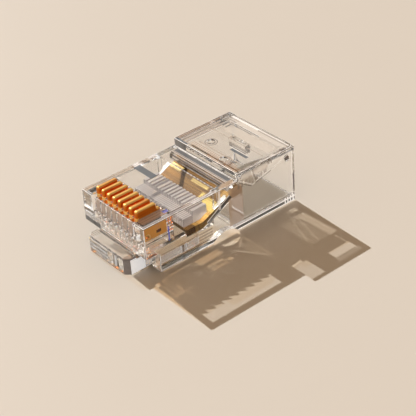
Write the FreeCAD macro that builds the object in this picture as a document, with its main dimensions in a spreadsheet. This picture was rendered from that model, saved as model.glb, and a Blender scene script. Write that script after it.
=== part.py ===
import FreeCAD, Part
import os
import re

import Sketcher

# Eight-way modular plug, not yet crimped, lying on its latch side.
# Millimetres. X runs across the plug, Y from the nose to the cable entry and
# Z from the latch side to the contact side. Every body is drawn with the
# front of the nose at Y = 0 and the rest surface at Z = 0, and its Placement
# then moves the middle of the plug's length to the origin.

# Driving sizes
SIZES = {
    # Housing, outside
    "plug_width": 11.68,
    "plug_length": 22.70,
    "nose_length": 13.74,
    "nose_top": 6.80,
    "nose_underside": 2.57,
    "rear_step": 0.93,
    "skirt_start": 1.87,
    "skirt_thick": 1.60,
    "edge_radius": 0.16,
    "arch_start": 9.50,
    "arch_rise": 0.95,
    "arch_rear": 13.60,
    # Housing, inside
    "side_wall": 0.84,
    "floor_thick": 0.48,
    "roof_thick": 0.50,
    "block_depth": 4.40,
    "window_length": 2.84,
    "post_width": 0.50,
    "post_depth": 0.25,
    "post_lift": 0.10,
    "rail_width": 0.36,
    "rail_height": 0.26,
    "rail_lead": 1.54,
    "latch_wall": 1.40,
    "rear_floor": 0.50,
    "rear_roof": 0.83,
    "entry_radius": 0.60,
    "header_drop": 0.62,
    "header_front": 0.24,
    "mouth_run": 1.70,
    "mouth_rise": 0.36,
    "tooth_width": 3.00,
    "tooth_depth": 1.10,
    "tooth_start": 18.80,
    "tooth_thick": 0.70,
    "tooth_draft": 0.08,
    "dimple_side": 0.55,
    "dimple_depth": 0.35,
    "dimple_back": 21.75,
    "dimple_height": 6.15,
    "mark_radius": 0.50,
    "mark_depth": 0.22,
    "mark_left": 1.98,
    "mark_left_back": 16.40,
    "mark_right": 2.14,
    "mark_right_back": 14.85,
    # Contacts and the slots that guide them
    "contact_count": 8,
    "contact_pitch": 1.02,
    "contact_thick": 0.56,
    "contact_front": 0.70,
    "contact_back": 3.90,
    "contact_stand": 0.95,
    "contact_height": 3.70,
    "contact_travel": 1.10,
    "contact_shoulder": 0.40,
    "shoulder_height": 0.75,
    "contact_round": 0.24,
    "ridge_bevel": 0.13,
    "toe_round": 0.62,
    "eye_radius": 0.24,
    "eye_back": 0.52,
    "eye_height": 0.58,
    "slot_length": 0.62,
    "slot_height": 0.34,
    "slot_back": 1.80,
    "slot_lift": 0.62,
    "tine_gap": 0.42,
    "tine_notch": 0.36,
    "slot_clearance": 0.04,
    "groove_floor": 4.46,
    "front_web": 0.16,
    "spring_mouth": 0.60,
    "wire_bore": 0.84,
    "wire_middle": 3.60,
    "wire_stop": 0.95,
    # Strain relief plate, a bent sheet that carries the wires up a ramp
    "plate_thick": 0.30,
    "plate_start": 6.20,
    "plate_side_gap": 0.06,
    "flange_thick": 0.30,
    "flange_depth": 0.55,
    "ramp_foot": 8.70,
    "crest_lead": 0.54,
    "ramp_crest": 5.40,
    "seat_clearance": 0.02,
    # Load bar that keeps the wires in line
    "bar_width": 8.60,
    "bar_front": 6.35,
    "bar_step": 7.70,
    "bar_back": 9.80,
    "bar_top": 5.00,
    "bar_step_height": 4.45,
    "bar_bore": 0.62,
    "ridge_count": 13,
    "ridge_pitch": 0.62,
    "ridge_groove": 0.22,
    # Clamp bar over the crest of the ramp
    "clamp_side_gap": 0.05,
    "clamp_knuckle": 0.25,
    "clamp_pivot_back": 0.29,
    "clamp_pivot_drop": 0.35,
    "clamp_reach": 1.15,
    "clamp_height": 0.95,
    "clamp_bevel": 0.32,
    "clamp_lean": 0.22,
    # Latch tab under the nose
    "toe_reach": 1.40,
    "toe_top": 2.15,
    "toe_gap": 0.12,
    "toe_edge": 0.15,
    "heel_top": 1.83,
    "heel_end": 1.70,
    "latch_side_gap": 0.39,
    "toe_corner": 0.60,
    "latch_bottom": 0.08,
    "latch_thick": 1.02,
    "shoulder_end": 8.90,
    "shoulder_radius": 0.80,
    "lever_width": 4.20,
    "lever_thick": 0.80,
    "bead_back": 11.70,
    "bead_radius": 0.52,
    "knuckle_radius": 0.40,
    "knuckle_back": 0.95,
    "knuckle_height": 2.22,
    "knuckle_width": 6.40,
    "neck_thick": 0.34,
    "lip_bottom": 1.98,
    "lip_wall": 0.36,
    "hinge_clearance": 0.03,
    "hinge_end_gap": 0.06,
}

# Places that follow from the driving sizes
PLACES = {
    "mid_length": "(plug_length - toe_reach) / 2",
    "rear_top": "nose_top + rear_step",
    "contact_top": "nose_top + contact_stand",
    "contact_bottom": "contact_top - contact_height",
    "latch_width": "pocket_width - 2 * latch_side_gap",
    "inner_width": "plug_width - 2 * side_wall",
    "floor_top": "nose_underside + floor_thick",
    "window_start": "nose_length - window_length",
    "ramp_crest_back": "nose_length - crest_lead",
    "first_contact": "-(contact_count - 1) * contact_pitch / 2",
    "contact_span": "(contact_count - 1) * contact_pitch",
    "slot_width": "contact_thick + 2 * slot_clearance",
    "slot_front": "contact_front - slot_clearance",
    "slot_rear": "contact_back + slot_clearance",
    "slot_floor": "contact_bottom - contact_travel - slot_clearance",
    "plate_bottom": "floor_top + seat_clearance",
    "ramp_rise": "(ramp_crest - plate_bottom - plate_thick) / (ramp_crest_back - ramp_foot)",
    "crest_seat": "ramp_crest - plate_thick - seat_clearance",
    "crest_end": "rear_start - plate_side_gap",
    "plate_width": "inner_width - 2 * plate_side_gap",
    "trough_width": "flange_thick + 2 * plate_side_gap",
    "trough_middle": "inner_width / 2 - trough_width / 2",
    "flange_middle": "plate_width / 2 - flange_thick / 2",
    "pocket_width": "plug_width - 2 * skirt_thick",
    "pocket_end": "ramp_crest_back + plate_side_gap + seat_clearance",
    "rear_start": "pocket_end + latch_wall",
    "rear_ceiling": "rear_top - rear_roof",
    "header_bottom": "rear_ceiling - header_drop",
    "lip_out": "knuckle_radius + hinge_clearance + lip_wall",
    "toe_step": "knuckle_back - lip_out - toe_gap",
    "header_face": "nose_length - header_front",
    "clamp_pivot_y": "nose_length - clamp_pivot_back",
    "clamp_pivot_z": "nose_top - clamp_pivot_drop",
    # How far a cut runs past a face, and how far an added piece sinks into its carrier
    "past": "1",
    "overlap": "0.1",
}

document = FreeCAD.newDocument("modular_plug")
sheet = document.addObject("Spreadsheet::Sheet", "Sizes")
for row, (alias, number) in enumerate(SIZES.items(), start=1):
    sheet.set("A%d" % row, alias)
    sheet.set("B%d" % row, str(number))
    sheet.setAlias("B%d" % row, alias)
document.recompute()


# Turns a formula in plain names into one that reads the sheet
def tied(formula):
    def named(match):
        word = match.group(0)
        if word in PLACES:
            return "(" + tied(PLACES[word]) + ")"
        return "Sizes." + word
    return re.sub(r"\b[a-z][a-z_]*\b(?!\()", named, str(formula))


# The present value of a formula, for first positions and for finding edges
def value(formula):
    return float(probe.evalExpression(tied(formula)))


probe = document.addObject("PartDesign::Body", "probe")


def new_body(name):
    body = document.addObject("PartDesign::Body", name)
    body.Label = name
    body.setExpression("Placement.Base.y", tied("-mid_length"))
    return body


# An empty sketch on one of the body's own planes, moved along its normal
def new_sketch(body, name, plane, at):
    sketch = body.newObject("Sketcher::SketchObject", name)
    datum = [item for item in body.Origin.OriginFeatures if item.Role == plane][0]
    sketch.AttachmentSupport = (datum, [""])
    sketch.MapMode = "FlatFace"
    sign = "-" if plane == "XZ_Plane" else ""
    sketch.setExpression("AttachmentOffset.Base.z", tied("%s(%s)" % (sign, at)))
    return sketch


def bind(sketch, kind, geometry, point, formula):
    number = value(formula)
    index = sketch.addConstraint(Sketcher.Constraint(kind, -1, 1, geometry, point, number))
    sketch.setExpression("Constraints[%d]" % index, tied(formula))


# A closed outline with straight sides; each corner is a pair of formulas
def polygon(body, name, plane, corners, at="0"):
    sketch = new_sketch(body, name, plane, at)
    spots = [FreeCAD.Vector(value(a), value(b), 0) for a, b in corners]
    count = len(corners)
    for i in range(count):
        sketch.addGeometry(Part.LineSegment(spots[i], spots[(i + 1) % count]))
    for i in range(count):
        sketch.addConstraint(Sketcher.Constraint("Coincident", i, 2, (i + 1) % count, 1))
        bind(sketch, "DistanceX", i, 1, corners[i][0])
        bind(sketch, "DistanceY", i, 1, corners[i][1])
    return sketch


def box_corners(low, high, bottom, top):
    return [(low, bottom), (high, bottom), (high, top), (low, top)]


def circle(body, name, plane, across, up, radius, at="0"):
    sketch = new_sketch(body, name, plane, at)
    middle = FreeCAD.Vector(value(across), value(up), 0)
    sketch.addGeometry(Part.Circle(middle, FreeCAD.Vector(0, 0, 1), value(radius)))
    bind(sketch, "DistanceX", 0, 3, across)
    bind(sketch, "DistanceY", 0, 3, up)
    index = sketch.addConstraint(Sketcher.Constraint("Radius", 0, value(radius)))
    sketch.setExpression("Constraints[%d]" % index, tied(radius))
    return sketch


# A pad or pocket that reaches equally to both sides of its sketch
def extrude(body, kind, sketch, length):
    feature = body.newObject("PartDesign::" + kind, sketch.Name + "_" + kind.lower())
    feature.Profile = sketch
    feature.SideType = "Symmetric"
    feature.setExpression("Length", tied(length))
    document.recompute()
    return feature


def pad(body, sketch, length):
    return extrude(body, "Pad", sketch, length)


def cut(body, sketch, length):
    return extrude(body, "Pocket", sketch, length)


# Copies features along X from the first contact place or ridge to the last
def repeat_across(body, name, features, count, span):
    pattern = body.newObject("PartDesign::LinearPattern", name)
    pattern.Originals = features
    axis = [item for item in body.Origin.OriginFeatures if item.Role == "X_Axis"][0]
    pattern.Direction = (axis, [""])
    pattern.setExpression("Occurrences", tied(count))
    pattern.setExpression("Length", tied(span))
    body.Tip = pattern
    document.recompute()
    return pattern


# Rounds or bevels the edges that the test picks, given each edge's middle and direction
def round_edges(body, name, radius, test, kind="Fillet"):
    base = body.Tip
    names = []
    for i, edge in enumerate(base.Shape.Edges, start=1):
        ends = [vertex.Point for vertex in edge.Vertexes]
        if len(ends) == 2 and test((ends[0] + ends[1]) * 0.5, (ends[1] - ends[0]).normalize()):
            names.append("Edge%d" % i)
    feature = body.newObject("PartDesign::" + kind, name)
    feature.Base = (base, names)
    feature.setExpression("Radius" if kind == "Fillet" else "Size", tied(radius))
    document.recompute()
    return feature


def near(spot, across, up):
    return abs(spot.y - value(across)) < 0.01 and abs(spot.z - value(up)) < 0.01


# An edge along X at one corner of a side outline
def along_x_at(*corners):
    def test(spot, way):
        return abs(way.x) > 0.99 and any(near(spot, a, b) for a, b in corners)
    return test


def contact_middle(number):
    return "first_contact + %d * contact_pitch" % (number - 1)


# Clear moulded housing: nose, skirts, contact slots, window and cable entry
def make_housing():
    body = new_body("housing")
    side = polygon(body, "side", "YZ_Plane", [
        ("0", "nose_underside"), ("0", "nose_top"),
        ("nose_length", "nose_top"), ("nose_length", "rear_top"),
        ("plug_length", "rear_top"), ("plug_length", "0"),
        ("skirt_start", "0"), ("skirt_start", "nose_underside")])
    pad(body, side, "plug_width")
    round_edges(body, "outer_edges", "edge_radius", lambda spot, way: True)

    # Low arch in the bottom of both skirts, around the end of the latch tab
    arch_half = "(arch_rear - arch_start) / 2"
    arch_radius = "((%s)^2 + arch_rise^2) / (2 * arch_rise)" % arch_half
    arch = circle(body, "arch", "YZ_Plane", "(arch_start + arch_rear) / 2",
                  "arch_rise - %s" % arch_radius, arch_radius)
    cut(body, arch, "plug_width + past")

    # Space for the latch tab between the skirts, rising behind under the ramp
    pocket = polygon(body, "latch_pocket", "YZ_Plane", [
        ("skirt_start - overlap", "-past"), ("skirt_start - overlap", "nose_underside"),
        ("ramp_foot", "nose_underside"),
        ("pocket_end", "nose_underside + (pocket_end - ramp_foot) * ramp_rise"),
        ("pocket_end", "-past")])
    cut(body, pocket, "pocket_width")

    # Wire space behind the contacts, its floor rising under the ramp plate
    hollow = polygon(body, "wire_space", "YZ_Plane", [
        ("block_depth", "floor_top"), ("ramp_foot", "floor_top"),
        ("ramp_crest_back", "crest_seat"), ("header_face", "crest_seat"), ("header_face", "nose_top + past"),
        ("window_start", "nose_top + past"), ("window_start", "nose_top - roof_thick"),
        ("block_depth", "nose_top - roof_thick")])
    cut(body, hollow, "inner_width")

    # Wire way under the header into the cable space
    way = polygon(body, "wire_way", "YZ_Plane",
                  box_corners("header_face - overlap", "rear_start + overlap", "crest_seat", "header_bottom"))
    cut(body, way, "inner_width")

    # Troughs beside the ramp for the flanges of the plate
    for side_name, sign in (("left", "-"), ("right", "")):
        trough = polygon(body, side_name + "_trough", "YZ_Plane", [
            ("plate_start - plate_side_gap", "floor_top - flange_depth"),
            ("ramp_foot", "floor_top - flange_depth"), ("ramp_crest_back", "crest_seat - flange_depth"),
            ("rear_start + overlap", "crest_seat - flange_depth"),
            ("rear_start + overlap", "crest_seat + overlap"), ("ramp_crest_back", "crest_seat + overlap"),
            ("ramp_foot", "floor_top + overlap"),
            ("plate_start - plate_side_gap", "floor_top + overlap")],
            at="%strough_middle" % sign)
        cut(body, trough, "trough_width")

    # Cable space, open at the rear
    entry = polygon(body, "cable_space", "XZ_Plane",
                    box_corners("-inner_width / 2", "inner_width / 2", "rear_floor", "rear_ceiling"),
                    at="(rear_start + plug_length + past) / 2")
    cut(body, entry, "plug_length + past - rear_start")

    def entry_corner(spot, edge_way):
        inside = value("rear_start") < spot.y < value("plug_length")
        return inside and abs(edge_way.y) > 0.99 and abs(abs(spot.x) - value("inner_width / 2")) < 0.01
    round_edges(body, "entry_corners", "entry_radius", entry_corner)

    # Roof of the cable entry, flared towards the mouth
    flare = polygon(body, "mouth_flare", "YZ_Plane", [
        ("plug_length - mouth_run", "rear_ceiling"), ("plug_length - mouth_run", "rear_ceiling - overlap"),
        ("plug_length + past", "rear_ceiling - overlap"),
        ("plug_length + past", "rear_ceiling + mouth_rise * (1 + past / mouth_run)")])
    cut(body, flare, "inner_width - 2 * entry_radius")

    # One tooth under the roof grips the jacket
    tooth = polygon(body, "jacket_tooth", "YZ_Plane", [
        ("tooth_start", "rear_ceiling - tooth_depth"),
        ("tooth_start + tooth_thick", "rear_ceiling - tooth_depth"),
        ("tooth_start + tooth_thick + tooth_draft", "rear_ceiling + overlap"),
        ("tooth_start - tooth_draft", "rear_ceiling + overlap")])
    pad(body, tooth, "tooth_width")

    # Small square dimple inside the right wall
    dimple = polygon(body, "wall_dimple", "YZ_Plane",
                     box_corners("dimple_back - dimple_side / 2", "dimple_back + dimple_side / 2",
                                 "dimple_height - dimple_side / 2", "dimple_height + dimple_side / 2"),
                     at="inner_width / 2")
    cut(body, dimple, "2 * dimple_depth")

    # A point above the ramp, at a given place along the plug and height over the plate
    def over_ramp(along, height):
        return (along, "ramp_crest - ramp_rise * (ramp_crest_back - (%s)) + %s" % (along, height))

    # Inside each side wall, a vertical post at the front of the window, and a sloping rail that
    # runs from it along the ramp, over the edge of the plate
    post_front = "window_start - post_width"
    rail_stop = "nose_length - rail_lead"
    for side_name, sign in (("left", "-"), ("right", "")):
        post = polygon(body, side_name + "_post", "YZ_Plane",
                       box_corners(post_front, "window_start",
                                   "ramp_crest - ramp_rise * (ramp_crest_back - window_start) + post_lift",
                                   "nose_top - roof_thick + overlap"),
                       at="%s(inner_width / 2 - post_depth / 2 + overlap / 2)" % sign)
        pad(body, post, "post_depth + overlap")
        rail = polygon(body, side_name + "_rail", "YZ_Plane", [
            over_ramp(post_front, "post_lift"), over_ramp(rail_stop, "post_lift"),
            over_ramp(rail_stop, "post_lift + rail_height"),
            over_ramp(post_front, "post_lift + rail_height")],
            at="%s(inner_width / 2 - rail_width / 2 + overlap / 2)" % sign)
        pad(body, rail, "rail_width + overlap")

    # Grooves in the front face, one for each contact, with round bottoms. A thin web closes them
    # towards the contacts, apart from the mouths at the top that let in the springs of the jack
    groove = polygon(body, "front_groove", "XZ_Plane",
                     box_corners("first_contact - slot_width / 2", "first_contact + slot_width / 2",
                                 "groove_floor + slot_width / 2", "nose_top + past"))
    groove_cut = cut(body, groove, "2 * (slot_front - front_web)")
    groove_end = circle(body, "groove_bottom", "XZ_Plane", "first_contact",
                        "groove_floor + slot_width / 2", "slot_width / 2")
    groove_end_cut = cut(body, groove_end, "2 * (slot_front - front_web)")
    mouth = polygon(body, "groove_mouth", "XZ_Plane",
                    box_corners("first_contact - slot_width / 2", "first_contact + slot_width / 2",
                                "nose_top - spring_mouth", "nose_top + past"))
    mouth_cut = cut(body, mouth, "2 * (slot_front + overlap)")
    repeat_across(body, "front_grooves", [groove_cut, groove_end_cut, mouth_cut],
                  "contact_count", "contact_span")

    # Slots that guide the contacts down to the wires
    slot = polygon(body, "contact_slot", "YZ_Plane",
                   box_corners("slot_front", "slot_rear", "slot_floor", "nose_top + past"),
                   at="first_contact")
    slot_cut = cut(body, slot, "slot_width")
    repeat_across(body, "contact_slots", [slot_cut], "contact_count", "contact_span")

    # Round-topped ways that lead each wire under its contact
    wire = polygon(body, "wire_way_lower", "XZ_Plane",
                   box_corners("first_contact - wire_bore / 2", "first_contact + wire_bore / 2",
                               "floor_top", "wire_middle"),
                   at="(wire_stop + block_depth + overlap) / 2")
    wire_cut = cut(body, wire, "block_depth + overlap - wire_stop")
    crown = circle(body, "wire_way_crown", "XZ_Plane", "first_contact", "wire_middle", "wire_bore / 2",
                   at="(wire_stop + block_depth + overlap) / 2")
    crown_cut = cut(body, crown, "block_depth + overlap - wire_stop")
    repeat_across(body, "wire_ways", [wire_cut, crown_cut], "contact_count", "contact_span")

    # Lips under the nose that hold the knuckle of the latch tab
    lips = polygon(body, "hinge_lips", "YZ_Plane",
                   box_corners("knuckle_back - lip_out", "knuckle_back + lip_out",
                               "lip_bottom", "nose_underside + overlap"))
    pad(body, lips, "knuckle_width")
    bore = circle(body, "hinge_bore", "YZ_Plane", "knuckle_back", "knuckle_height",
                  "knuckle_radius + hinge_clearance")
    cut(body, bore, "knuckle_width + overlap")
    drop = "(knuckle_height - lip_bottom)"
    mouth_half = "sqrt((knuckle_radius + hinge_clearance)^2 - %s^2)" % drop
    mouth = polygon(body, "hinge_mouth", "YZ_Plane",
                    box_corners("knuckle_back - %s" % mouth_half, "knuckle_back + %s" % mouth_half,
                                "lip_bottom - overlap", "knuckle_height"))
    cut(body, mouth, "knuckle_width + overlap")

    # Hollow in the header for the knuckle of the clamp bar
    seat = circle(body, "clamp_seat", "YZ_Plane", "clamp_pivot_y", "clamp_pivot_z",
                  "clamp_knuckle + hinge_clearance")
    cut(body, seat, "inner_width")

    # Two shallow pin marks on top of the rear block
    for mark_name, across, back in (("left", "-mark_left", "mark_left_back"),
                                    ("right", "mark_right", "mark_right_back")):
        mark = circle(body, mark_name + "_mark", "XY_Plane", across, back, "mark_radius", at="rear_top")
        cut(body, mark, "2 * mark_depth")
    return body


# One contact: a stamped blade with a bevelled ridge, an eye and three tines
def make_contact(number):
    body = new_body("contact_%d" % number)
    middle = contact_middle(number)
    blade = polygon(body, "blade", "YZ_Plane", [
        ("contact_front", "contact_bottom"), ("contact_front", "contact_top"),
        ("contact_back - contact_shoulder", "contact_top"),
        ("contact_back - contact_shoulder", "contact_top - shoulder_height"),
        ("contact_back", "contact_top - shoulder_height"),
        ("contact_back", "contact_bottom")], at=middle)
    pad(body, blade, "contact_thick")
    round_edges(body, "toe_corner", "toe_round", along_x_at(("contact_front", "contact_bottom")))
    round_edges(body, "head_corners", "contact_round", along_x_at(
        ("contact_front", "contact_top"), ("contact_back - contact_shoulder", "contact_top"),
        ("contact_back - contact_shoulder", "contact_top - shoulder_height")))

    def ridge(spot, way):
        return abs(spot.z - value("contact_top")) < 0.01 and abs(way.y) > 0.99
    round_edges(body, "ridge_edges", "ridge_bevel", ridge, "Chamfer")
    eye = circle(body, "eye", "YZ_Plane", "contact_front + eye_back", "contact_bottom + eye_height",
                 "eye_radius", at=middle)
    cut(body, eye, "2 * contact_thick")
    window = polygon(body, "window", "YZ_Plane",
                     box_corners("contact_front + slot_back", "contact_front + slot_back + slot_length",
                                 "contact_bottom + slot_lift", "contact_bottom + slot_lift + slot_height"),
                     at=middle)
    cut(body, window, "2 * contact_thick")
    for notch_name, share in (("front", "1"), ("rear", "2")):
        tip = "contact_front + %s * (contact_back - contact_front) / 3" % share
        notch = polygon(body, notch_name + "_notch", "YZ_Plane", [
            (tip + " - tine_gap / 2", "contact_bottom - overlap"),
            (tip + " + tine_gap / 2", "contact_bottom - overlap"),
            (tip, "contact_bottom + tine_notch")], at=middle)
        cut(body, notch, "2 * contact_thick")
    return body


# Gold-coloured sheet: flat front, ramp, flat crest and a flange at each side
def make_strain_relief_plate():
    body = new_body("strain_relief_plate")
    sheet_side = polygon(body, "bend", "YZ_Plane", [
        ("plate_start", "plate_bottom"), ("ramp_foot", "plate_bottom"),
        ("ramp_crest_back", "ramp_crest - plate_thick"), ("crest_end", "ramp_crest - plate_thick"),
        ("crest_end", "ramp_crest"), ("ramp_crest_back", "ramp_crest"),
        ("ramp_foot", "plate_bottom + plate_thick"), ("plate_start", "plate_bottom + plate_thick")])
    pad(body, sheet_side, "plate_width")
    for side_name, sign in (("left", "-"), ("right", "")):
        drop = "flange_depth - seat_clearance"
        flange = polygon(body, side_name + "_flange", "YZ_Plane", [
            ("plate_start", "plate_bottom - (%s)" % drop), ("ramp_foot", "plate_bottom - (%s)" % drop),
            ("ramp_crest_back", "ramp_crest - plate_thick - (%s)" % drop),
            ("crest_end", "ramp_crest - plate_thick - (%s)" % drop),
            ("crest_end", "ramp_crest - plate_thick / 2"),
            ("ramp_crest_back", "ramp_crest - plate_thick / 2"),
            ("ramp_foot", "plate_bottom + plate_thick / 2"),
            ("plate_start", "plate_bottom + plate_thick / 2")], at="%sflange_middle" % sign)
        pad(body, flange, "flange_thick")
    return body


# Clear comb that keeps the wires in line, lying on the plate
def make_load_bar():
    body = new_body("load_bar")
    seat = "plate_bottom + plate_thick + seat_clearance"
    side = polygon(body, "side", "YZ_Plane", [
        ("bar_front", seat), ("ramp_foot", seat),
        ("bar_back", seat + " + (bar_back - ramp_foot) * ramp_rise"),
        ("bar_back", "bar_top"), ("bar_step", "bar_top"),
        ("bar_step", "bar_step_height"), ("bar_front", "bar_step_height")])
    pad(body, side, "bar_width")
    first_ridge = "-(ridge_count - 1) * ridge_pitch / 2"
    groove = polygon(body, "ridge_groove", "XZ_Plane", [
        (first_ridge + " - ridge_groove", "bar_top + overlap"),
        (first_ridge + " + ridge_groove", "bar_top + overlap"),
        (first_ridge, "bar_top - ridge_groove")], at="(bar_step + bar_back) / 2")
    groove_cut = cut(body, groove, "bar_back - bar_step + overlap")
    repeat_across(body, "ridge_grooves", [groove_cut], "ridge_count", "(ridge_count - 1) * ridge_pitch")
    bore = circle(body, "wire_bore", "XZ_Plane", "first_contact",
                  "(bar_step_height + bar_top) / 2 - bar_bore", "bar_bore / 2",
                  at="(bar_front + bar_back) / 2")
    bore_cut = cut(body, bore, "bar_back - bar_front + past")
    repeat_across(body, "wire_bores", [bore_cut], "contact_count", "contact_span")
    return body


# Clear bar in the window, which the crimping tool folds down on the wires
def make_clamp_bar():
    body = new_body("clamp_bar")
    top = "clamp_pivot_z + clamp_knuckle"
    front = "clamp_pivot_y - clamp_reach"
    bottom = "(%s) - clamp_height" % top
    side = polygon(body, "side", "YZ_Plane", [
        ("clamp_pivot_y", "clamp_pivot_z - clamp_knuckle / 2"),
        ("clamp_pivot_y", top),
        (front + " + clamp_bevel", top), (front, "%s - clamp_bevel" % top),
        (front, "%s + clamp_bevel / 2" % bottom), (front + " + clamp_bevel / 2", bottom),
        ("clamp_pivot_y - clamp_lean", bottom)])
    pad(body, side, "inner_width - 2 * clamp_side_gap")
    knuckle = circle(body, "knuckle", "YZ_Plane", "clamp_pivot_y", "clamp_pivot_z", "clamp_knuckle")
    pad(body, knuckle, "inner_width - 2 * clamp_side_gap")
    return body


# Latch tab: toe in front of the nose, flat shoulders and a lever with a bead
def make_latch_tab():
    body = new_body("latch_tab")

    def block(name, front, back, top):
        outline = polygon(body, name, "XY_Plane",
                          box_corners("-latch_width / 2", "latch_width / 2", front, back),
                          at="(latch_bottom + %s) / 2" % top)
        pad(body, outline, "%s - latch_bottom" % top)
    block("toe", "-toe_reach", "toe_step", "toe_top")

    def front_corner(spot, way):
        return abs(way.z) > 0.99 and spot.y < value("overlap - toe_reach")
    round_edges(body, "toe_corners", "toe_corner", front_corner, "Chamfer")

    def top_edge(spot, way):
        return abs(spot.z - value("toe_top")) < 0.01 and spot.y < value("toe_step - overlap")
    round_edges(body, "toe_edges", "toe_edge", top_edge, "Chamfer")
    block("heel", "toe_step - overlap", "heel_end", "heel_top")
    block("shoulders", "heel_end - overlap", "shoulder_end", "(latch_bottom + latch_thick)")

    def shoulder_corner(spot, way):
        return abs(way.z) > 0.99 and abs(spot.y - value("shoulder_end")) < 0.01
    round_edges(body, "shoulder_corners", "shoulder_radius", shoulder_corner)
    lever = polygon(body, "lever", "XY_Plane",
                    box_corners("-lever_width / 2", "lever_width / 2", "shoulder_end - overlap", "bead_back"),
                    at="latch_bottom + lever_thick / 2")
    pad(body, lever, "lever_thick")
    bead = circle(body, "bead", "YZ_Plane", "bead_back", "latch_bottom + bead_radius", "bead_radius")
    pad(body, bead, "lever_width")
    neck = polygon(body, "neck", "YZ_Plane",
                   box_corners("knuckle_back - neck_thick / 2", "knuckle_back + neck_thick / 2",
                               "heel_top - overlap", "knuckle_height"))
    pad(body, neck, "knuckle_width - 2 * hinge_end_gap")
    knuckle = circle(body, "knuckle", "YZ_Plane", "knuckle_back", "knuckle_height", "knuckle_radius")
    pad(body, knuckle, "knuckle_width - 2 * hinge_end_gap")
    return body


bodies = [make_housing(), make_latch_tab(), make_strain_relief_plate(), make_load_bar(), make_clamp_bar()]
bodies += [make_contact(number) for number in range(1, int(SIZES["contact_count"]) + 1)]
document.removeObject(probe.Name)
document.recompute()

failed = [item.Name for item in document.Objects if {"Invalid", "Error"} & set(item.State)]
for body in bodies:
    if body.Shape.isNull() or not body.Shape.isValid() or len(body.Shape.Solids) != 1:
        failed.append(body.Label)
if failed:
    raise SystemExit("not written, failed: " + ", ".join(failed))

os.makedirs("parts", exist_ok=True)
for body in bodies:
    body.Shape.exportStep("parts/%s.step" % body.Label)
    print(body.Label, round(body.Shape.Volume, 3), "mm3")
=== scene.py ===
import math

import bpy
from mathutils import Matrix, Vector


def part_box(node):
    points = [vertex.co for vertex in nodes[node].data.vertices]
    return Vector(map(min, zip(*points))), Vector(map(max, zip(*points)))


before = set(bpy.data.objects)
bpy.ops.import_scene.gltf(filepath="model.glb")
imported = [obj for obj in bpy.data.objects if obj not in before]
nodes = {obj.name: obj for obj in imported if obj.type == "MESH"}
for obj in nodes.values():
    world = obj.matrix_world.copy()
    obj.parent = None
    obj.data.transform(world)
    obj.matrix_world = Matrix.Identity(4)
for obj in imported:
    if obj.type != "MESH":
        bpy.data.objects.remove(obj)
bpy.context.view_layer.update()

# Looks for a clear modular plug with gold contacts. Lengths are in metres, those of marks in millimetres
scene = bpy.context.scene
millimetre = 0.001
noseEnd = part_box("housing")[0].y
noLight = (0, 0, 0, 1)


# One socket of a node tree; + - * / on it add Math nodes
class Wire:
    def __init__(self, paint, socket):
        self.paint = paint
        self.socket = socket

    def calc(self, operation, other=0, flipped=False):
        values = [other, self] if flipped else [self, other]
        return self.paint.node("ShaderNodeMath", {"operation": operation}, {0: values[0], 1: values[1]})

    def __add__(self, other):
        return self.calc("ADD", other)

    def __radd__(self, other):
        return self.calc("ADD", other, True)

    def __sub__(self, other):
        return self.calc("SUBTRACT", other)

    def __rsub__(self, other):
        return self.calc("SUBTRACT", other, True)

    def __mul__(self, other):
        return self.calc("MULTIPLY", other)

    def __rmul__(self, other):
        return self.calc("MULTIPLY", other, True)

    def __truediv__(self, other):
        return self.calc("DIVIDE", other)

    def above(self, edge, width):  # 0 under the edge, 1 past edge + width
        return self.paint.node("ShaderNodeMapRange", {"clamp": True},
                               {"Value": self, "From Min": edge, "From Max": edge + width})

    def within(self, low, high, soft):  # 1 between the two values, with soft ends
        return self.above(low, soft) * (1 - self.above(high - soft, soft))

    def between(self, low, high):  # 1 between the two values, with hard ends
        return self.paint.node("ShaderNodeMath", {"operation": "COMPARE"},
                               {0: self, 1: (low + high) / 2, 2: (high - low) / 2})

    def size(self):
        return self.calc("ABSOLUTE")

    def orMore(self, other):
        return self.calc("MAXIMUM", other)

    def steps(self, pitch):  # climbs from 0 to 1 over each pitch
        return (self / pitch).calc("FRACT")


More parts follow.
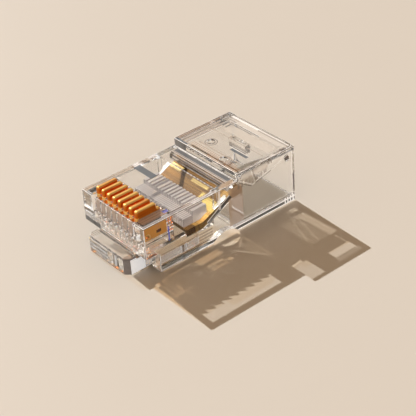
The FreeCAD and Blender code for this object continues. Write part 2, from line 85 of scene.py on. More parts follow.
# A node tree for a look: nodes are added by type, with their settings first and then their inputs
class Paint:
    def __init__(self, name, tree=None, output="ShaderNodeOutputMaterial"):
        self.material = None
        if tree is None:
            self.material = bpy.data.materials.new(name)
            self.material.use_nodes = True
            tree = self.material.node_tree
        self.tree = tree
        self.tree.nodes.clear()
        self.output = self.tree.nodes.new(output)
        self.shared = {}

    def node(self, kind, settings=None, inputs=None, out=0):
        made = self.tree.nodes.new(kind)
        for key, value in (settings or {}).items():
            if key == "stops":
                ramp = made.color_ramp
                while len(ramp.elements) < len(value):
                    ramp.elements.new(0.5)
                for element, (place, colour) in zip(ramp.elements, value):
                    element.position = place
                    element.color = colour
            else:
                setattr(made, key, value)
        for key, value in (inputs or {}).items():
            if isinstance(value, Wire):
                self.tree.links.new(value.socket, made.inputs[key])
            else:
                made.inputs[key].default_value = value
        return Wire(self, made.outputs[out])

    def place(self):
        return self.node("ShaderNodeTexCoord", out="Object")

    def axis(self, name):  # made once and shared by the masks
        if name not in self.shared:
            self.shared[name] = self.node("ShaderNodeSeparateXYZ", inputs={0: self.place()}, out=name)
        return self.shared[name]

    def noise(self, scale, detail=2.0, roughness=0.5, stretch=(1, 1, 1)):
        where = self.node("ShaderNodeMapping", inputs={"Vector": self.place(), "Scale": stretch})
        return self.node("ShaderNodeTexNoise", inputs={"Vector": where, "Scale": scale, "Detail": detail,
                                                       "Roughness": roughness})

    def facing(self, name):  # how far the face looks along the axis, either way
        turned = self.node("ShaderNodeNewGeometry", out="True Normal")
        return self.node("ShaderNodeSeparateXYZ", inputs={0: turned}, out=name).size()

    def squareness(self):  # 1 where the face looks along an axis, less on rounds and slopes
        return self.facing("X").orMore(self.facing("Y")).orMore(self.facing("Z"))

    def blend(self, share, first, second):  # 6 and 7 are the colour inputs, 2 the colour output
        sockets = {"Factor": share, 6: first, 7: second}
        return self.node("ShaderNodeMix", {"data_type": "RGBA"}, sockets, out=2)

    def mixShader(self, share, first, second):
        return self.node("ShaderNodeMixShader", inputs={0: share, 1: first, 2: second})

    def principled(self, **inputs):
        return self.node("ShaderNodeBsdfPrincipled", inputs=inputs)

    def bump(self, height, strength, distance):
        return self.node("ShaderNodeBump", inputs={"Height": height, "Strength": strength,
                                                   "Distance": distance})

    def finish(self, surface):
        self.tree.links.new(surface.socket, self.output.inputs["Surface"])
        return self.material


def dress(material, *names):
    for name in names:
        slots = nodes[name].data.materials
        slots.clear()
        slots.append(material)


# Places of a shader along the plug's own measures: across it, from the nose and from the table
def places(paint):
    if "places" not in paint.shared:
        paint.shared["places"] = {"across": paint.axis("X"), "along": paint.axis("Y") - noseEnd,
                                  "up": paint.axis("Z")}
    return paint.shared["places"]


def inMetres(values):
    return [value * millimetre for value in values]


# 1 inside a box given by two ranges in millimetres, with soft sides
def softBox(paint, ranges):
    inside = [places(paint)[key].within(*inMetres(limits), touchEdge) for key, limits in ranges.items()]
    return inside[0] * inside[1]


# 1 inside a strip of the wall's plane, drawn between two places in millimetres
def slantedStrip(along, up, mark):
    start, stop = (Vector(mark[key]) * millimetre for key in ("start", "stop"))
    run = (stop - start).normalized()
    onward = along * run.x + up * run.y - start.dot(run)
    aside = along * -run.y + up * run.x - (start.y * run.x - start.x * run.y)
    wide = mark["wide"] * millimetre
    return onward.within(0, (stop - start).length, paneEdge) * (1 - aside.size().above(wide / 2, wide / 4))


# How far a place is from a centre given by two of the plug's measures
def distanceFrom(paint, centre):
    aside = [places(paint)[key] - value * millimetre for key, value in centre.items()]
    return (aside[0] * aside[0] + aside[1] * aside[1]).calc("SQRT")


print("scene: materials")

paneEdge = 0.07 * millimetre
touchEdge = 0.04 * millimetre

# Colours of the painted reflections, highlights and shade on the clear parts
slate = (0.10, 0.125, 0.155, 1)
whitish = (0.95, 0.93, 0.91, 1)
tan = (0.50, 0.36, 0.26, 1)
darkLine = (0.13, 0.10, 0.08, 1)
blue = (0.04, 0.09, 0.62, 1)
lavender = (0.62, 0.58, 0.60, 1)

clearLook = {
    "tint": (0.99, 0.98, 0.966, 1),
    "ior": 1.52,
    "rough": 0.0,
    "waveScale": 260,
    "wave": 0.0000006,
    "passes": (0.965, 0.93, 0.885, 1),
    "stops": (0.02, 0.015, 0.01, 1),
}

# Painted edge highlights and painted edge shade: glowing white on the upper half of each rounded edge, dark
# on the other
edgeHighlightLook = {
    "white": (0.97, 0.96, 0.95, 1),
    "dark": (0.17, 0.12, 0.09, 1),
    "glow": 0.6,
    "rounded": (0.90, 0.07),  # squareness, and the width of the change
    "upright": (0.15, 0.05),
    "lit": (0.70, 0.04),
    "gaps": (0.38, 0.2),
    "gapScale": 1100,
    "leastShare": 0.38,
    "moreShare": 0.55,
}

# The wall away from the window stops most sun; these panes of it let some through, as places in
# millimetres from the nose and from the table. Teeth and grid give their pitch and their height
wallPanes = [
    {"along": (0.35, 10.4), "up": (4.90, 6.15), "share": 0.70, "teeth": (1.12, 0.36)},
    {"along": (13.1, 15.15), "up": (5.55, 7.3), "share": 0.62},
    {"start": (13.1, 5.5), "stop": (14.7, 5.42), "wide": 0.16, "share": 0.85},
    {"along": (17.75, 21.1), "up": (6.0, 6.75), "share": 0.72},
    {"along": (17.6, 21.3), "up": (6.75, 7.2), "share": 0.2},
    {"along": (5.8, 9.3), "up": (0.5, 1.15), "share": 0.62},
    {"along": (6.1, 8.6), "up": (1.45, 2.25), "share": 0.60, "grid": (0.62, 0.45)},
    {"along": (8.9, 9.5), "up": (1.75, 2.1), "share": 0.85},
    {"start": (13.02, 0.6), "stop": (13.08, 3.6), "wide": 0.07, "share": 0.75},
    {"start": (10.4, 1.4), "stop": (13.0, 3.5), "wide": 0.09, "share": 0.60},
    {"start": (12.9, 0.7), "stop": (11.2, 1.5), "wide": 0.08, "share": 0.60},
    {"start": (11.7, 1.7), "stop": (13.0, 2.6), "wide": 0.9, "share": 0.14},
    {"start": (0.3, 0.62), "stop": (5.5, 0.56), "wide": 0.07, "share": 0.70},
    {"start": (1.1, 0.7), "stop": (1.6, 2.2), "wide": 0.06, "share": 0.60},
    {"start": (0.45, 2.1), "stop": (0.4, 2.95), "wide": 0.12, "share": 0.55},
    {"start": (1.85, 2.4), "stop": (1.92, 3.2), "wide": 0.25, "share": 0.30},
    {"start": (2.45, 2.35), "stop": (2.55, 2.75), "wide": 0.10, "share": 0.80},
    {"along": (17.6, 21.5), "up": (1.0, 4.6), "share": 0.26, "lines": 0.30},
    {"start": (20.9, 0.6), "stop": (21.1, 4.7), "wide": 0.9, "share": 0.50},
    {"start": (20.2, 0.6), "stop": (17.6, 4.2), "wide": 0.10, "share": 0.45},
    {"start": (20.7, 0.6), "stop": (18.8, 4.6), "wide": 0.12, "share": 0.45},
    {"start": (20.85, 4.9), "stop": (20.9, 7.0), "wide": 0.10, "share": 0.60},
]
paneBars = {"side": (0.18, 0.1), "row": (0.22, 0.1), "line": (0.35, 0.3)}
sunSkew = 0.0908  # the sun stands 3 degrees behind the plug's side: the panes lean with it

# Faces that carry the painted reflections and shade: the top of the nose, the top of the rear block and the
# near wall
noseTop = {"up": (6.7, 6.9)}
roof = {"up": (7.6, 7.8)}
nearWall = {"across": (5.78, 5.9)}

# Painted reflections, highlights and shade on the clear housing, as the photograph shows them: a sheen on the
# webs, slate bars, thin white and dark double lines, some glowing. Stripes give the measure that they follow,
# their pitch in millimetres and the share left clear
housingPaintedLightAndShade = [
    dict(noseTop, across=(-5.64, -5.52), along=(0.1, 11.0), colour=darkLine, share=0.6),
    dict(noseTop, across=(-5.3, -1.75), along=(7.0, 7.95), colour=slate, share=0.86),
    dict(noseTop, across=(3.92, 5.2), along=(0.55, 3.95), colour=(0.30, 0.16, 0.09, 1), share=0.62,
         stripes=("across", 0.42, 0.12)),
    dict(noseTop, across=(4.45, 4.95), along=(3.65, 4.35), colour=blue, share=0.6),
    dict(noseTop, across=(5.35, 5.78), along=(0.1, 10.6), colour=lavender, share=0.5),
    dict(noseTop, across=(-5.78, -5.1), along=(0.1, 10.6), colour=(0.80, 0.60, 0.45, 1), share=0.4,
         stripes=("across", 0.34, 0.3)),
    dict(noseTop, across=(-4.1, 4.1), along=(0.36, 0.75), colour=(0.80, 0.40, 0.10, 1), share=0.8),
    dict(roof, across=(-5.62, -5.50), along=(13.8, 22.4), colour=darkLine, share=0.6),
    dict(roof, across=(-5.50, -5.38), along=(13.8, 22.4), colour=whitish, share=0.6),
    dict(roof, across=(-5.3, 5.3), along=(22.3, 22.42), colour=darkLine, share=0.5),
    dict(roof, across=(-5.8, -5.15), along=(13.8, 20.8), colour=(0.70, 0.52, 0.40, 1), share=0.6,
         stripes=("across", 0.30, 0.3)),
    dict(roof, across=(0.0, 5.4), along=(13.8, 14.7), colour=(0.70, 0.36, 0.16, 1), share=0.42,
         stripes=("along", 0.31, 0.4)),
    dict(roof, across=(-4.7, 5.6), along=(21.2, 22.05), colour=(0.90, 0.84, 0.77, 1), share=0.45),
    dict(roof, across=(-4.7, 0.2), along=(21.95, 22.3), colour=whitish, share=0.8, glow=0.25),
    dict(roof, across=(0.2, 5.6), along=(22.05, 22.3), colour=whitish, share=0.6, glow=0.1),
    dict(roof, across=(0.2, 5.6), along=(21.85, 22.05), colour=(0.35, 0.31, 0.28, 1), share=0.5),
    dict(roof, across=(-3.7, 1.4), along=(21.02, 21.16), colour=slate, share=0.6),
    dict(roof, across=(-3.7, 1.4), along=(21.16, 21.28), colour=whitish, share=0.6),
    dict(roof, across=(-5.1, -3.7), along=(14.0, 20.4), colour=(0.55, 0.42, 0.33, 1), share=0.55,
         stripes=("across", 0.47, 0.4)),
    dict(roof, across=(-3.82, -3.68), along=(14.2, 20.4), colour=whitish, share=0.6),
    dict(roof, across=(-3.68, -3.58), along=(14.2, 20.4), colour=darkLine, share=0.4),
    dict(roof, across=(-5.9, -2.8), along=(19.8, 20.9), colour=(0.12, 0.11, 0.11, 1), share=0.75,
         stripes=("across", 0.62, 0.55)),
    dict(roof, across=(-5.7, -3.0), along=(20.9, 22.1), colour=(0.45, 0.38, 0.33, 1), share=0.45,
         stripes=("along", 0.43, 0.45)),
    dict(roof, across=(-3.0, -0.6), rings={"across": -1.79, "along": 16.28},
         colour=(0.22, 0.18, 0.16, 1), share=0.65),
    dict(roof, across=(1.4, 3.5), rings={"across": 2.44, "along": 14.83},
         colour=(0.22, 0.18, 0.16, 1), share=0.65),
    dict(roof, across=(5.25, 5.84), along=(20.5, 21.5), colour=(0.16, 0.13, 0.12, 1), share=0.7,
         stripes=("along", 0.5, 0.3)),
    dict(roof, across=(1.1, 4.0), along=(16.70, 17.12), colour=slate, share=0.85),
    dict(roof, across=(0.6, 4.0), along=(17.12, 17.24), colour=whitish, share=0.7),
    dict(roof, across=(-3.4, 4.6), along=(14.35, 15.1), colour=(0.66, 0.48, 0.36, 1), share=0.45,
         stripes=("along", 0.25, 0.45)),
    dict(roof, across=(-3.0, 5.0), along=(19.2, 20.7), colour=(0.88, 0.79, 0.70, 1), share=0.3),
    dict(roof, across=(0.7, 3.6), along=(17.42, 17.54), colour=whitish, share=0.5),
    dict(roof, across=(-4.0, 0.4), along=(20.7, 20.86), colour=slate, share=0.5),
    dict(roof, across=(-4.6, 5.0), along=(18.35, 18.5), colour=tan, share=0.3),
    dict(roof, across=(-3.0, 4.0), along=(15.3, 15.5), colour=tan, share=0.4),
    dict(roof, across=(5.42, 5.58), along=(11.2, 22.3), colour=darkLine, share=0.6,
         stripes=("along", 1.9, 0.35)),
    dict(nearWall, along=(3.32, 3.52), up=(3.7, 5.6), colour=blue, share=0.8, glow=0.25),
    dict(nearWall, along=(12.2, 14.4), up=(1.2, 6.3), colour=(0.62, 0.46, 0.34, 1), share=0.6,
         glow=0.12),
    dict(nearWall, along=(18.0, 19.05), up=(6.95, 7.6), colour=(0.24, 0.17, 0.13, 1), share=0.6,
         stripes=("along", 0.55, 0.3)),
    dict(nearWall, start=(14.2, 6.9), stop=(18.4, 7.0), wide=0.8, colour=(0.85, 0.76, 0.68, 1),
         share=0.4, glow=0.1),
    dict(nearWall, start=(13.4, 6.2), stop=(16.3, 6.1), wide=0.8, colour=(0.62, 0.55, 0.50, 1),
         share=0.4, stripes=("along", 0.56, 0.4)),
    dict(nearWall, start=(16.3, 5.85), stop=(18.4, 6.35), wide=0.5, colour=(0.42, 0.38, 0.37, 1),
         share=0.5, stripes=("along", 0.7, 0.35)),
    dict(nearWall, along=(22.12, 22.26), up=(1.0, 7.2), colour=whitish, share=0.6, glow=0.5),
    dict(nearWall, along=(22.28, 22.6), up=(1.6, 4.0), colour=(0.36, 0.36, 0.42, 1), share=0.7),
    dict(nearWall, along=(0.9, 9.6), up=(1.12, 2.5), colour=(0.46, 0.34, 0.25, 1), share=0.42,
         stripes=("up", 0.40, 0.35)),
    dict(nearWall, along=(11.3, 12.3), up=(0.1, 1.1), rings={"along": 11.8, "up": 0.55},
         colour=whitish, share=0.8, glow=0.6),
    dict(nearWall, start=(15.75, 7.5), stop=(16.3, 5.5), wide=0.10, colour=whitish, share=0.5, glow=0.2),
    dict(nearWall, start=(13.9, 6.7), stop=(15.9, 5.4), wide=0.12, colour=whitish, share=0.6, glow=0.3),
    dict(nearWall, start=(13.8, 6.5), stop=(15.8, 5.2), wide=0.10, colour=darkLine, share=0.5),
    dict(nearWall, start=(15.8, 5.3), stop=(16.4, 5.45), wide=0.12, colour=whitish, share=0.6, glow=0.3),
    dict(nearWall, start=(15.95, 7.5), stop=(16.6, 5.5), wide=0.11, colour=darkLine, share=0.5),
    dict(nearWall, start=(16.4, 5.35), stop=(18.9, 6.0), wide=0.13, colour=darkLine, share=0.5),
    dict(nearWall, start=(16.4, 5.55), stop=(18.9, 6.2), wide=0.11, colour=whitish, share=0.7, glow=0.4),
    dict(nearWall, start=(18.9, 6.1), stop=(21.9, 7.0), wide=0.10, colour=whitish, share=0.6, glow=0.4),
    dict(nearWall, start=(12.6, 5.3), stop=(9.05, 3.14), wide=0.34, colour=slate, share=0.75),
    dict(nearWall, start=(12.4, 5.55), stop=(8.85, 3.4), wide=0.10, colour=whitish, share=0.7, glow=0.5),
    dict(nearWall, along=(10.72, 11.05), up=(4.2, 6.7), colour=whitish, share=0.55, glow=0.4),
    dict(nearWall, along=(8.7, 22.5), up=(0.30, 0.64), colour=slate, share=0.9),
    dict(nearWall, along=(8.7, 22.5), up=(0.64, 0.80), colour=whitish, share=0.85, glow=0.7),
    dict(nearWall, along=(8.7, 22.5), up=(0.05, 0.26), colour=whitish, share=0.85, glow=0.7),
    dict(nearWall, along=(20.9, 22.7), up=(0.1, 1.0), colour=whitish, share=0.85, glow=0.8,
         stripes=("along", 0.43, 0.6)),
    dict(nearWall, along=(2.0, 8.9), up=(0.92, 1.04), colour=darkLine, share=0.75),
    dict(nearWall, along=(2.0, 8.9), up=(0.30, 0.72), colour=slate, share=0.7),
    dict(nearWall, along=(0.3, 1.35), up=(2.1, 2.55), colour=slate, share=0.8),
    dict(across=(-4.3, 4.3), along=(0.42, 0.70), up=(4.40, 6.24), colour=(0.72, 0.60, 0.52, 1),
         share=0.75, glow=0.22),
    dict(across=(-5.8, -2.7), along=(-0.1, 0.3), up=(2.5, 3.3), colour=slate, share=0.85),
    dict(across=(-5.84, -5.4), along=(-0.1, 0.3), up=(3.5, 6.3), colour=(0.36, 0.38, 0.42, 1),
         share=0.6, stripes=("up", 0.9, 0.25)),
    dict(across=(-5.6, -3.5), along=(13.68, 14.15), up=(6.9, 7.8), colour=slate, share=0.75),
    dict(across=(-1.55, 1.55), along=(18.6, 19.6), up=(5.9, 6.2), colour=tan, share=0.4),
    dict(across=(4.9, 5.84), along=(21.4, 22.0), up=(6.05, 6.6), colour=(0.16, 0.07, 0.03, 1),
         share=0.85),
]


# How much sun the panes of the wall let through, from 0 to 1
def panesOpen(paint, panes):
    up = places(paint)["up"]
    along = places(paint)["along"] - up * sunSkew
    total = None
    for pane in panes:
        if "start" in pane:
            inside = slantedStrip(along, up, pane) * pane["share"]
        else:
            low, high = inMetres(pane["up"])
            lift = up
            if "teeth" in pane:
                pitch, height = inMetres(pane["teeth"])
                lift = up - along.steps(pitch) * height
            inside = along.within(*inMetres(pane["along"]), paneEdge) * lift.above(low, paneEdge)
            inside = inside * (1 - up.above(high, paneEdge)) * pane["share"]
        if "grid" in pane:
            side, row = inMetres(pane["grid"])
            inside = inside * along.steps(side).above(*paneBars["side"])
            inside = inside * up.steps(row).above(*paneBars["row"])
        if "lines" in pane:
            inside = inside * along.steps(pane["lines"] * millimetre).above(*paneBars["line"])
        total = inside if total is None else total.orMore(inside)
    return total


# Clear plastic: sun goes through it, except where the mask says that it stops
def clearShader(paint, look, plastic, stopMask):
    shadowRay = paint.node("ShaderNodeLightPath", out="Is Shadow Ray")
    passes = paint.node("ShaderNodeBsdfTransparent", inputs={"Color": look["passes"]})
    stops = paint.node("ShaderNodeBsdfTransparent", inputs={"Color": look["stops"]})
    return paint.mixShader(shadowRay * stopMask, paint.mixShader(shadowRay, plastic, passes), stops)


def clearBody(paint, look):
    skin = paint.bump(paint.noise(look["waveScale"], 1.5), 0.35, look["wave"])
    return paint.principled(**{"Base Color": look["tint"], "Roughness": look["rough"], "IOR": look["ior"],
                               "Transmission Weight": 1.0, "Normal": skin})


touchLook = {"rough": 0.3, "slanted": (0.85, 0.05), "faces": (0.85, 0.1), "base": (0.9, 0.9, 0.9, 1),
             "ringPitch": 0.27 * millimetre, "ringCount": 3, "ringGap": 0.5}


# Painted reflections, highlights and shade on clear plastic, each a box or a strip with a colour, a share and
# maybe stripes or rings; the glow lets a painted highlight shine
def paintLightAndShade(paint, touches, plastic, look=touchLook):
    measures = places(paint)
    share, glow, colour = 0, 0, look["base"]
    for touch in touches:
        masks = [place.between(*inMetres(touch[key])) for key, place in measures.items() if key in touch]
        if "start" in touch:
            masks.append(slantedStrip(measures["along"], measures["up"], touch))
        if "rings" in touch:
            rings = distanceFrom(paint, touch["rings"]) / look["ringPitch"]
            masks.append(rings.calc("FRACT").calc("GREATER_THAN", look["ringGap"]))
            masks.append(rings.calc("LESS_THAN", look["ringCount"]))
        if "slant" in touch:
            masks.append(1 - paint.squareness().above(*look["slanted"]))
        if "faces" in touch:
            masks.append(paint.facing(touch["faces"]).above(*look["faces"]))
        if "stripes" in touch:
            key, pitch, gap = touch["stripes"]
            masks.append(measures[key].steps(pitch * millimetre).calc("GREATER_THAN", gap))
        inside = masks[0]
        for mask in masks[1:]:
            inside = inside * mask
        colour = paint.blend(inside, colour, touch["colour"])
        share = inside * (touch["share"] - share) + share
        glow = inside * (touch.get("glow", 0.0) - glow) + glow
    paintedSheen = paint.principled(**{
        "Base Color": colour, "Roughness": look["rough"], "Emission Strength": 1.0,
        "Emission Color": paint.blend(glow, noLight, colour)})
    return paint.mixShader(share, plastic, paintedSheen)


# A rounded edge shows as a double line: a painted highlight, white and glowing on its upper half, and painted
# shade, dark on the other
def paintEdgeHighlights(paint, plastic, kept, look=edgeHighlightLook):
    edges = (1 - paint.squareness().above(*look["rounded"])) * kept
    upright = 1 - paint.facing("Z").above(*look["upright"])
    lit = paint.facing("Z").above(*look["lit"]).orMore(upright * paint.facing("X").above(*look["lit"]))
    broken = paint.noise(look["gapScale"], 2).above(*look["gaps"]) * look["moreShare"] + look["leastShare"]
    line = paint.principled(**{
        "Base Color": paint.blend(lit, look["dark"], look["white"]), "Roughness": 0.3,
        "Emission Strength": look["glow"], "Emission Color": paint.blend(lit, noLight, look["white"])})
    return paint.mixShader(edges * broken, plastic, line)


# Where the housing stops the sun: the wall that it leaves last, the flat faces on the window's side, the
# rear of the underside and, but for thin lines, the nose's underside. The cable entry has no painted edge
# highlights
housingSun = {
    "wallDepth": 0.05, "wallFade": 0.01,
    "flat": (0.9, 0.05),
    "topAcross": -5.05,
    "rearAcross": -2.0, "rearAlong": 11.5, "rearUp": 0.1, "rearShare": 0.35,
    "noseAlong": (0, 2.4), "noseUp": (2.2, 3.5), "nosePitch": 0.6, "noseLines": (0.2, 0.15),
    "noseLeast": 0.45, "noseMore": 0.5,
    "entryAlong": 14.6, "entryHalf": 5.2, "entryTop": 7.2,
}


# 1 on a node's wall away from the window
def farWall(paint, node, look=housingSun):
    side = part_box(node)[1].x - look["wallDepth"] * millimetre
    return paint.axis("X").above(side, look["wallFade"] * millimetre)


def housingPlastic(look, sun, panes, touches):
    paint = Paint("clearPlastic")
    across, along, up = places(paint).values()

    def past(place, key):
        return place.above(sun[key] * millimetre, paneEdge)

    inEntry = past(along, "entryAlong") * (1 - past(across.size(), "entryHalf")) * (1 - past(up, "entryTop"))
    plastic = paintEdgeHighlights(paint, paintLightAndShade(paint, touches, clearBody(paint, look)), 1 - inEntry)
    wall = farWall(paint, "housing") * (1 - panesOpen(paint, panes))
    topFace = paint.facing("Z").above(*sun["flat"]) * (1 - past(across, "topAcross"))
    rear = (1 - past(up, "rearUp")) * past(across, "rearAcross") * past(along, "rearAlong") * sun["rearShare"]
    lines = along.steps(sun["nosePitch"] * millimetre).above(*sun["noseLines"])
    underNose = (paint.facing("Z").above(*sun["flat"]) * up.between(*inMetres(sun["noseUp"]))
                 * along.between(*inMetres(sun["noseAlong"])) * (lines * sun["noseMore"] + sun["noseLeast"]))
    stopped = wall.orMore(topFace).orMore(rear).orMore(underNose)
    return paint.finish(clearShader(paint, look, plastic, stopped))


# Painted light and shade on the latch: glowing white stripes on its top, a glowing painted white reflection
# on its outer side, a dark painted facet on its slant, slate stripes and a darker patch as painted
# reflection, and a painted shadow line along the foot of its front
latchPaintedLightAndShade = [
    dict(across=(-3.9, 3.1), along=(-1.3, 1.4), up=(1.6, 2.3), colour=(0.92, 0.83, 0.74, 1),
         share=0.5, glow=0.12, stripes=("along", 0.26, 0.4)),
    dict(across=(3.0, 3.9), along=(-1.4, -0.3), up=(1.9, 2.3), colour=(0.40, 0.30, 0.25, 1), share=0.65),
    dict(across=(3.4, 4.0), along=(-1.6, 1.2), up=(0.05, 2.1), faces="X",
         colour=(0.88, 0.92, 0.97, 1), share=0.9, glow=0.5),
    dict(across=(-3.9, 3.9), along=(-1.7, -1.2), up=(-0.1, 0.16), colour=(0.34, 0.24, 0.17, 1),
         share=0.75),
    dict(across=(-2.2, 1.2), along=(-1.7, -1.2), up=(0.75, 1.0), colour=slate, share=0.5,
         stripes=("across", 0.8, 0.35)),
    dict(across=(3.0, 4.0), along=(-1.6, 0.2), up=(0.05, 2.1), slant=True,
         colour=(0.24, 0.23, 0.25, 1), share=0.85),
]


def latchPlastic(look, touches):
    paint = Paint("latchPlastic")
    plastic = paintLightAndShade(paint, touches, paintEdgeHighlights(paint, clearBody(paint, look), 1))
    return paint.finish(clearShader(paint, look, plastic, farWall(paint, "latch_tab")))


clampLook = dict(
    clearLook, slate=(0.17, 0.18, 0.20, 1), brown=(0.42, 0.31, 0.23, 1), white=edgeHighlightLook["white"],
    band=0.24 * millimetre, lined=2.7, lineGap=0.55, paintedSheenShare=0.75, topFaces=(0.6, 0.2), paintedSheenRough=0.35)


# The clamp bar's upward faces carry painted reflections: thin brown lines and white highlight lines in front,
# slate behind
def clampPlastic(look):
    paint = Paint("clampPlastic")
    upper = paint.facing("Z").above(*look["topFaces"])
    bands = (paint.axis("Y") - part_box("clamp_bar")[0].y) / look["band"]
    lined = 1 - bands.above(look["lined"], 0.1)
    colour = paint.blend(lined, look["slate"], look["brown"])
    whiteLines = bands.calc("FRACT").calc("GREATER_THAN", look["lineGap"]) * lined
    colour = paint.blend(whiteLines, colour, look["white"])
    paintedSheen = paint.principled(**{"Base Color": colour, "Roughness": look["paintedSheenRough"]})
    plastic = paint.mixShader(upper * look["paintedSheenShare"], clearBody(paint, look), paintedSheen)
    return paint.finish(clearShader(paint, look, plastic, upper * 0))


combLook = dict(
    clearLook, tint=(0.95, 0.95, 0.97, 1), paintedSheen=(0.97, 0.93, 0.92, 1), paintedSheenShare=0.5, glow=0.16,
    groove=(0.48, 0.43, 0.44, 1), grooveShare=0.1, grooveFaces=(0.3, 0.95, 0.1), paintedSheenRough=0.3,
    stripe=0.31 * millimetre, stripeGap=(0.5, 0.15), stripedAlong=7.72 * millimetre)


# The comb: a whitish painted sheen with a glow, painted shade on its groove flanks and dark painted lines
# striped across its front edge
def combPlastic(look):
    paint = Paint("combPlastic")
    grooves = paint.facing("X").within(*look["grooveFaces"])
    colour = paint.blend(grooves, look["paintedSheen"], look["groove"])
    front = 1 - places(paint)["along"].above(look["stripedAlong"], touchEdge)
    stripes = paint.axis("X").steps(look["stripe"]).above(*look["stripeGap"])
    colour = paint.blend(stripes * front, colour, look["groove"])
    paintedSheen = paint.principled(**{"Base Color": colour, "Roughness": look["paintedSheenRough"],
                                "Emission Color": colour, "Emission Strength": look["glow"]})
    share = grooves * look["grooveShare"] + look["paintedSheenShare"]
    plastic = paint.mixShader(share, clearBody(paint, look), paintedSheen)
    return paint.finish(clearShader(paint, look, plastic, grooves * 0))


contactLook = {
    "gold": (1.0, 0.60, 0.17, 1),
    "flankShadeAndReflection": (0.78, 0.22, 0.02, 1),
    "drawn": (0.62, 0.12, 0.005, 1),
    "deep": (0.82, 0.43, 0.10, 1),
    "eyeHighlight": (1.0, 0.85, 0.48, 1),
    "star": (1.0, 0.74, 0.26, 1),
    "holeShade": (0.10, 0.04, 0.01, 1),
    # a painted glow on the blades inside the plastic
    "glow": (0.12, 0.055, 0.012, 1),
    "rough": 0.30,
    "scratch": 0.16,
    "top": (0.05, 0.4),
    "drawnLines": (0.5, 0.12), "drawnShare": 0.7, "drawnScale": 1600, "drawnStretch": (1, 0.06, 1),
    "slotTop": 6.65, "slotFade": 0.2, "slotFront": 0.9,
    "eye": {"along": 1.22, "up": 4.63}, "eyeRing": (0.28, 0.42), "eyeHole": 0.25,
    "window": {"along": (2.46, 3.16), "up": (4.63, 5.05)},
    "foot": {"along": (-1.0, 0.99), "up": (6.55, 6.92)},
}


# Painted light on the blades: bright gold tops as lit from above, red-orange flanks as painted shade and the
# reflection of their neighbours, a brownish painted tone with a faint glow inside the plastic, a painted
# highlight ring round the eye, painted shade in the eye hole and the window and a brighter painted glint on
# the foot; the drawn lines along each blade are the metal's own
def contactGold(look):
    paint = Paint("contactGold")
    along, up = (places(paint)[key] for key in ("along", "up"))
    lines = paint.noise(look["drawnScale"], 2, 0.6, look["drawnStretch"])
    colour = paint.blend(paint.facing("Z").above(*look["top"]), look["flankShadeAndReflection"], look["gold"])
    colour = paint.blend(lines.above(*look["drawnLines"]) * look["drawnShare"], colour, look["drawn"])
    belowTop = 1 - up.above(look["slotTop"] * millimetre, look["slotFade"] * millimetre)
    inSlot = belowTop * along.above(look["slotFront"] * millimetre, touchEdge)
    window = softBox(paint, look["window"])
    radius = distanceFrom(paint, look["eye"])
    colour = paint.blend(inSlot, colour, look["deep"])
    colour = paint.blend(radius.within(*inMetres(look["eyeRing"]), touchEdge), colour, look["eyeHighlight"])
    colour = paint.blend(1 - radius.above(look["eyeHole"] * millimetre, touchEdge), colour, look["holeShade"])
    colour = paint.blend(window, colour, look["holeShade"])
    colour = paint.blend(softBox(paint, look["foot"]), colour, look["star"])
    return paint.finish(paint.principled(**{
        "Base Color": colour, "Metallic": 1.0, "Roughness": lines * look["scratch"] + look["rough"],
        "Normal": paint.bump(lines, 0.25, 0.00001), "Emission Strength": 1.0,
        "Emission Color": paint.blend(inSlot * (1 - window), noLight, look["glow"])}))


plateLook = {
    "gold": (0.127, 0.067, 0.018, 1),
    "shade": (0.062, 0.031, 0.008, 1),
    "rough": 0.50,
    "scratch": 0.10,
    "grainScale": 900, "grainStretch": (0.15, 4, 1),
    "shaded": (0.4, 0.2),
    "highlightGaps": (0.5, 0.1), "highlightGapShare": 0.5,
}
# Painted sun highlights and reflections on the plate: brighter gold patches on its foot and ramp, given
# across and along in millimetres
platePaintedHighlights = [
    {"across": (-5.3, 5.3), "along": (7.5, 10.0), "colour": (0.36, 0.24, 0.08, 1)},
    {"across": (-5.0, -2.7), "along": (11.9, 12.75), "colour": (0.40, 0.34, 0.16, 1)},
    {"across": (-0.4, 2.6), "along": (11.7, 12.1), "colour": (0.36, 0.27, 0.10, 1)},
    {"across": (2.3, 5.0), "along": (10.0, 11.3), "colour": (0.33, 0.25, 0.08, 1)},
    {"across": (3.9, 5.0), "along": (12.0, 13.3), "colour": (0.24, 0.15, 0.05, 1)},
]


def plateGold(look, touches):
    paint = Paint("plateGold")
    grain = paint.noise(look["grainScale"], 3, 0.55, look["grainStretch"])
    colour = paint.blend(grain.above(*look["shaded"]), look["gold"], look["shade"])
    # the grain breaks up the painted highlights
    kept = 1 - grain.above(*look["highlightGaps"]) * look["highlightGapShare"]
    for touch in touches:
        inside = softBox(paint, {key: touch[key] for key in ("across", "along")})
        colour = paint.blend(inside * kept, colour, touch["colour"])
    return paint.finish(paint.principled(**{
        "Base Color": colour, "Metallic": 1.0, "Roughness": grain * look["scratch"] + look["rough"],
        "Normal": paint.bump(grain, 0.12, 0.000004)}))


contactNames = [name for name in nodes if name.startswith("contact_")]
dress(housingPlastic(clearLook, housingSun, wallPanes, housingPaintedLightAndShade), "housing")
dress(latchPlastic(clearLook, latchPaintedLightAndShade), "latch_tab")
dress(clampPlastic(clampLook), "clamp_bar")
dress(combPlastic(combLook), "load_bar")
dress(contactGold(contactLook), *contactNames)
dress(plateGold(plateLook, platePaintedHighlights), "strain_relief_plate")
for name in contactNames + ["strain_relief_plate"]:
    nodes[name].visible_shadow = False  # the strip of light in the housing's shadow stays whole

print("scene: floor, light and camera")


# Where a turn about the plug and a tilt up from the table point, in degrees
def direction(turn, tilt):
    turn, tilt = math.radians(turn), math.radians(tilt)
    return Vector((math.sin(turn) * math.cos(tilt), -math.cos(turn) * math.cos(tilt), math.sin(tilt)))


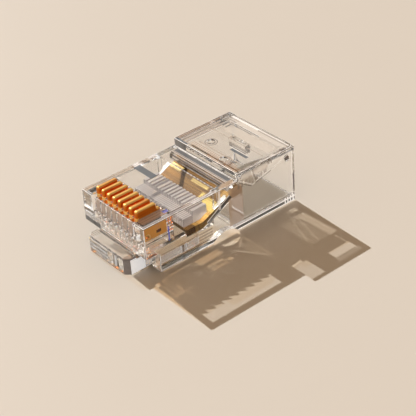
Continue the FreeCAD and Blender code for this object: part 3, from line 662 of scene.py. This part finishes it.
# The photograph's frame is 416 pixels square; the lens is long and a little above the plug
photo = {
    "turn": 52.23, "tilt": 33.97, "roll": -4.18, "lens": 104.9, "distance": 0.1415,
    "target": (3.15 * millimetre, noseEnd + 11.25 * millimetre, 3.0 * millimetre),
}


def addCamera(shot):
    turn, roll = math.radians(shot["turn"]), math.radians(shot["roll"])
    back = direction(shot["turn"], shot["tilt"])
    level = Vector((math.cos(turn), math.sin(turn), 0))
    rise = back.cross(level)
    right = level * math.cos(roll) + rise * math.sin(roll)
    up = rise * math.cos(roll) - level * math.sin(roll)
    data = bpy.data.cameras.new("photoCamera")
    data.lens = shot["lens"]
    data.sensor_width = 36
    data.clip_start = 0.001
    camera = bpy.data.objects.new("photoCamera", data)
    scene.collection.objects.link(camera)
    turned = Matrix((right, up, back)).transposed()
    stand = Vector(shot["target"]) + back * shot["distance"]
    camera.matrix_world = Matrix.Translation(stand) @ turned.to_4x4()
    scene.camera = camera


floorLook = {
    "colour": (0.705, 0.66, 0.60, 1), "cloud": (0.665, 0.62, 0.56, 1), "cloudScale": 30, "cloudShare": 0.5,
    "size": 1.2, "rough": 0.6, "gloss": 0.25,
    "drop": -0.03 * millimetre,
}


def addFloor(look):
    half, drop = look["size"] / 2, look["drop"]
    mesh = bpy.data.meshes.new("tableTop")
    corners = [(-half, -half, drop), (half, -half, drop), (half, half, drop), (-half, half, drop)]
    mesh.from_pydata(corners, [], [(0, 1, 2, 3)])
    table = bpy.data.objects.new("tableTop", mesh)
    scene.collection.objects.link(table)
    paint = Paint("paleTable")
    cloud = paint.noise(look["cloudScale"], 3) * look["cloudShare"]
    mesh.materials.append(paint.finish(paint.principled(**{
        "Base Color": paint.blend(cloud, look["colour"], look["cloud"]), "Roughness": look["rough"],
        "Specular IOR Level": look["gloss"]})))


sunLook = {"turn": -93, "tilt": 30, "distance": 0.3, "angle": 0.35, "power": 4.2, "colour": (1.0, 1.0, 0.985)}


def addSun(look):
    data = bpy.data.lights.new("windowSun", "SUN")
    data.energy = look["power"]
    data.color = look["colour"]
    data.angle = math.radians(look["angle"])
    data.cycles.use_multiple_importance_sampling = False
    sun = bpy.data.objects.new("windowSun", data)
    away = direction(look["turn"], look["tilt"])
    sun.location = away * look["distance"]
    sun.rotation_euler = away.to_track_quat("Z", "Y").to_euler()
    scene.collection.objects.link(sun)


# The room: a warm ramp from the table up, with a bright window that shows in the plastic, and a dim
# warm fill for the table
roomLook = {
    "stops": ((0.0, (0.62, 0.54, 0.46, 1)), (0.50, (1.0, 0.90, 0.80, 1)), (0.80, (0.95, 0.85, 0.76, 1)),
              (0.86, (0.40, 0.38, 0.38, 1)), (0.90, (0.85, 0.75, 0.66, 1))),
    "strength": 0.5,
    "window": (2.6, 2.7, 2.8, 1),
    "windowSide": (0.80, 0.05),
    "windowUp": (0.12, 0.70, 0.04),
    "fill": (0.395, 0.285, 0.19, 1),
}


def addWorld(look):
    world = bpy.data.worlds.new("room")
    world.use_nodes = True
    paint = Paint("roomNodes", world.node_tree, "ShaderNodeOutputWorld")
    split = paint.node("ShaderNodeTexCoord", out="Generated")
    side, height = (paint.node("ShaderNodeSeparateXYZ", inputs={0: split}, out=name) for name in ("X", "Z"))
    ramp = paint.node("ShaderNodeValToRGB", {"stops": look["stops"]}, {0: height * 0.5 + 0.5})
    window = (side * -1).above(*look["windowSide"]) * height.within(*look["windowUp"])
    colour = paint.blend(window, ramp, look["window"])
    seen = paint.node("ShaderNodeBackground", inputs={"Color": colour, "Strength": look["strength"]})
    fill = paint.node("ShaderNodeBackground", inputs={"Color": look["fill"]})
    camera, glossy, through = (paint.node("ShaderNodeLightPath", out="Is %s Ray" % kind)
                               for kind in ("Camera", "Glossy", "Transmission"))
    paint.finish(paint.mixShader(camera.orMore(glossy).orMore(through), fill, seen))
    scene.world = world


addCamera(photo)
addFloor(floorLook)
addSun(sunLook)
addWorld(roomLook)
scene.view_settings.view_transform = "Standard"
bounceLimit = 40  # clear plastic stays clear through many walls
for setting in ("max_bounces", "glossy_bounces", "transmission_bounces", "transparent_max_bounces"):
    setattr(scene.cycles, setting, bounceLimit)
scene.cycles.caustics_reflective = False
scene.cycles.caustics_refractive = False
